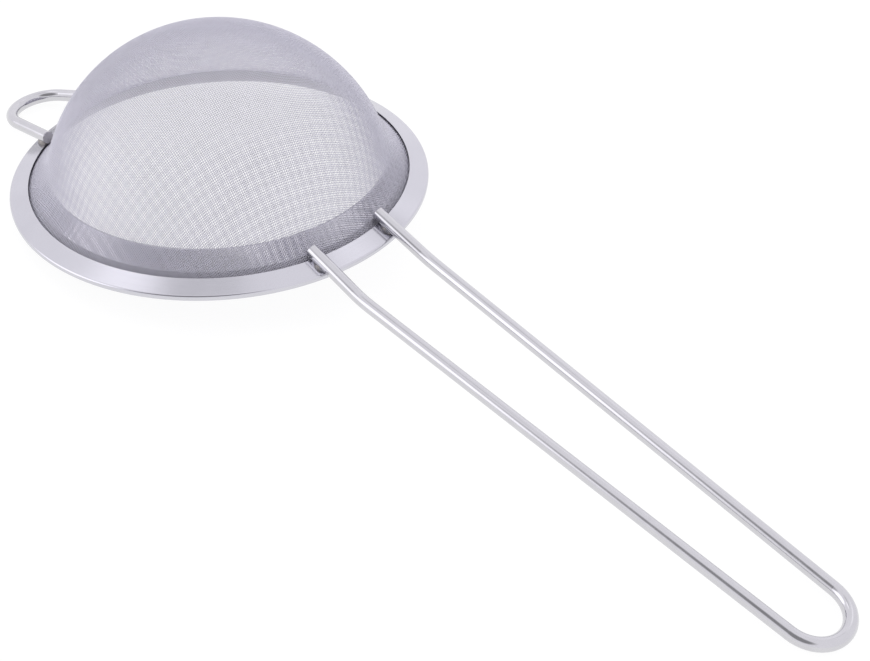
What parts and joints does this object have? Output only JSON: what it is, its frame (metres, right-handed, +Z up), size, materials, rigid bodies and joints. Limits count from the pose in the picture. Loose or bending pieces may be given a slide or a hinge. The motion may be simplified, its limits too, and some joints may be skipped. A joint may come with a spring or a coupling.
{
  "type": "tea strainer",
  "caption": "Round fine-mesh tea strainer with a folded steel rim, a long bent-wire handle and a small wire rest loop on the far side.",
  "frame": {"origin": "centre of the bowl's mouth, in the plane of the rim's seat", "axes": "+Z up with the strainer lying bowl upside down on the far edge of its rim and the end of its handle, +X out along the handle; the bowl's axis leans 6.20 degrees from +Z, towards the rest loop"},
  "size_m": [0.1938, 0.08, 0.0344],
  "materials": {
    "rim_steel": "gloss",
    "cloth_steel": "satin",
    "wire_steel": "polished",
    "weld_steel": "satin"
  },
  "bodies": {
    "root": {"rim_ring": "rim_steel", "mesh_bowl": "cloth_steel", "handle_wire": "wire_steel", "rest_loop": "wire_steel", "handle_weld_left": "weld_steel", "handle_weld_right": "weld_steel", "loop_weld_left": "weld_steel", "loop_weld_right": "weld_steel"}
  },
  "joints": []
}
